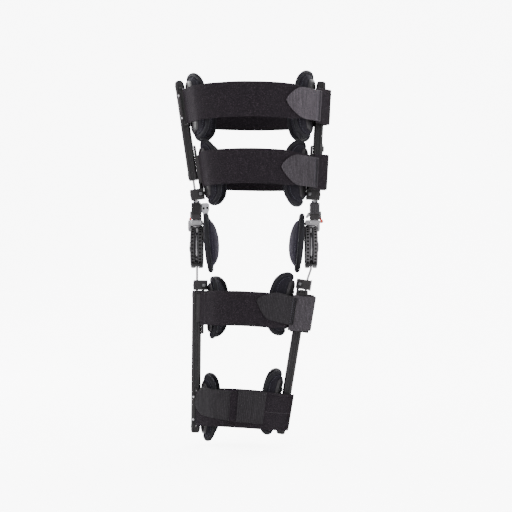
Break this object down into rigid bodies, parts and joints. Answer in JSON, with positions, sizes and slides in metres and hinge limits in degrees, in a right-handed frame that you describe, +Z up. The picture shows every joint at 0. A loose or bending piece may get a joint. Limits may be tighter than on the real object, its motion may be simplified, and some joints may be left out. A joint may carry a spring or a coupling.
{
  "type": "knee brace",
  "caption": "Post-operative knee brace: hinged, telescoping side bars with range-of-motion dials, padded cuffs and condyle pads, and hook-and-loop straps that encircle thigh and calf",
  "frame": {"origin": "on the knee axis, at the flat outer end of the left pivot rivet's cap (the viewer's left, seen from the front)", "axes": "+X along the knee axis to the viewer's right, -Y to the front of the leg, +Z up the thigh"},
  "size_m": [0.2504, 0.1997, 0.5824],
  "materials": {
    "frame_plastic": "fine moulded texture",
    "cuff_plastic": "satin",
    "bar_steel": "brushed along its length",
    "yoke_casting": "bead blasted",
    "dial_plastic": "moulded, satin",
    "pivot_steel": "polished",
    "lock_red": "satin",
    "control_plastic": "moulded",
    "pad_cloth": "brushed knit over foam, bound edge",
    "strap_webbing": "napped loop pile"
  },
  "bodies": {
    "knee_frame": {"upper_arm_left": "bar_steel", "upper_arm_right": "bar_steel", "hinge_block_left": "frame_plastic", "hinge_block_right": "frame_plastic", "hinge_yoke_left": "yoke_casting", "hinge_yoke_right": "yoke_casting", "inner_dial_left": "dial_plastic", "inner_dial_right": "dial_plastic", "outer_dial_left": "dial_plastic", "outer_dial_right": "dial_plastic", "pivot_rivet_left": "pivot_steel", "pivot_rivet_right": "pivot_steel", "condyle_pad_left": "pad_cloth", "condyle_pad_right": "pad_cloth", "thigh_lock_housing_left": "frame_plastic", "thigh_lock_housing_right": "frame_plastic", "lower_thigh_cuff_left": "cuff_plastic", "lower_thigh_cuff_right": "cuff_plastic", "lower_thigh_pad_left": "pad_cloth", "lower_thigh_pad_right": "pad_cloth", "lower_thigh_front_strap": "strap_webbing", "lower_thigh_back_strap": "strap_webbing"},
    "calf_frame": {"lower_arm_left": "bar_steel", "lower_arm_right": "bar_steel", "calf_lock_housing_left": "frame_plastic", "calf_lock_housing_right": "frame_plastic", "upper_calf_cuff_left": "cuff_plastic", "upper_calf_cuff_right": "cuff_plastic", "upper_calf_pad_left": "pad_cloth", "upper_calf_pad_right": "pad_cloth", "upper_calf_front_strap": "strap_webbing", "upper_calf_back_strap": "strap_webbing"},
    "thigh_left_bar": {"thigh_channel_left": "frame_plastic", "upper_thigh_cuff_left": "cuff_plastic", "upper_thigh_pad_left": "pad_cloth", "upper_thigh_front_strap": "strap_webbing", "upper_thigh_back_strap": "strap_webbing"},
    "thigh_right_bar": {"thigh_channel_right": "frame_plastic", "upper_thigh_cuff_right": "cuff_plastic", "upper_thigh_pad_right": "pad_cloth"},
    "calf_left_bar": {"calf_channel_left": "frame_plastic", "lower_calf_cuff_left": "cuff_plastic", "lower_calf_pad_left": "pad_cloth", "lower_calf_front_strap": "strap_webbing", "lower_calf_back_strap": "strap_webbing"},
    "calf_right_bar": {"calf_channel_right": "frame_plastic", "lower_calf_cuff_right": "cuff_plastic", "lower_calf_pad_right": "pad_cloth"},
    "extension_stop_left": {"extension_stop_left": "control_plastic"},
    "flexion_stop_left": {"flexion_stop_left": "control_plastic"},
    "quick_lock_left": {"quick_lock_left": "lock_red"},
    "thigh_release_button_left": {"thigh_release_button_left": "control_plastic"},
    "calf_release_button_left": {"calf_release_button_left": "control_plastic"},
    "extension_stop_right": {"extension_stop_right": "control_plastic"},
    "flexion_stop_right": {"flexion_stop_right": "control_plastic"},
    "quick_lock_right": {"quick_lock_right": "lock_red"},
    "thigh_release_button_right": {"thigh_release_button_right": "control_plastic"},
    "calf_release_button_right": {"calf_release_button_right": "control_plastic"}
  },
  "joints": [
    {"name": "knee_flexion", "type": "hinge", "parent": "knee_frame", "child": "calf_frame", "pos_m": [0.1036, 0, 0], "axis": [1, 0, 0], "range_deg": [-10, 120], "deforming": ["upper_calf_pad_left", "upper_calf_pad_right", "upper_calf_back_strap"]},
    {"name": "thigh_length", "type": "slide", "parent": "knee_frame", "child": "thigh_left_bar", "axis": [-0.1444, 0, 0.9895], "range_m": [0, 0.045]},
    {"name": "thigh_right_takeup", "type": "slide", "parent": "thigh_left_bar", "child": "thigh_right_bar", "axis": [1, 0, 0], "range_m": [0, 0.00891], "deforming": ["upper_thigh_front_strap", "upper_thigh_back_strap"]},
    {"name": "calf_length", "type": "slide", "parent": "calf_frame", "child": "calf_left_bar", "axis": [-0.0105, 0, -0.9999], "range_m": [0, 0.045]},
    {"name": "calf_right_takeup", "type": "slide", "parent": "calf_left_bar", "child": "calf_right_bar", "axis": [-1, 0, 0], "range_m": [0, 0.0069], "deforming": ["lower_calf_front_strap", "lower_calf_back_strap"]},
    {"name": "extension_stop_left_turn", "type": "hinge", "parent": "knee_frame", "child": "extension_stop_left", "pos_m": [0.0126, 0, 0], "axis": [1, 0, 0], "range_deg": [0, 10]},
    {"name": "flexion_stop_left_turn", "type": "hinge", "parent": "knee_frame", "child": "flexion_stop_left", "pos_m": [0.0126, 0, 0], "axis": [1, 0, 0], "range_deg": [-110, 0]},
    {"name": "quick_lock_left_slide", "type": "slide", "parent": "knee_frame", "child": "quick_lock_left", "axis": [0, 0, 1], "range_m": [0, 0.005]},
    {"name": "thigh_release_left_press", "type": "slide", "parent": "knee_frame", "child": "thigh_release_button_left", "axis": [0, 1, 0], "range_m": [0, 0.002]},
    {"name": "calf_release_left_press", "type": "slide", "parent": "calf_frame", "child": "calf_release_button_left", "axis": [0, 1, 0], "range_m": [0, 0.002]},
    {"name": "extension_stop_right_turn", "type": "hinge", "parent": "knee_frame", "child": "extension_stop_right", "pos_m": [0.1946, 0, 0], "axis": [1, 0, 0], "range_deg": [0, 10]},
    {"name": "flexion_stop_right_turn", "type": "hinge", "parent": "knee_frame", "child": "flexion_stop_right", "pos_m": [0.1946, 0, 0], "axis": [1, 0, 0], "range_deg": [-110, 0]},
    {"name": "quick_lock_right_slide", "type": "slide", "parent": "knee_frame", "child": "quick_lock_right", "axis": [0, 0, 1], "range_m": [0, 0.005]},
    {"name": "thigh_release_right_press", "type": "slide", "parent": "knee_frame", "child": "thigh_release_button_right", "axis": [0, 1, 0], "range_m": [0, 0.002]},
    {"name": "calf_release_right_press", "type": "slide", "parent": "calf_frame", "child": "calf_release_button_right", "axis": [0, 1, 0], "range_m": [0, 0.002]}
  ],
  "couplings": [
    {"joint": "thigh_right_takeup", "follows": "thigh_length", "ratio": 0.19795},
    {"joint": "calf_right_takeup", "follows": "calf_length", "ratio": 0.15328}
  ]
}
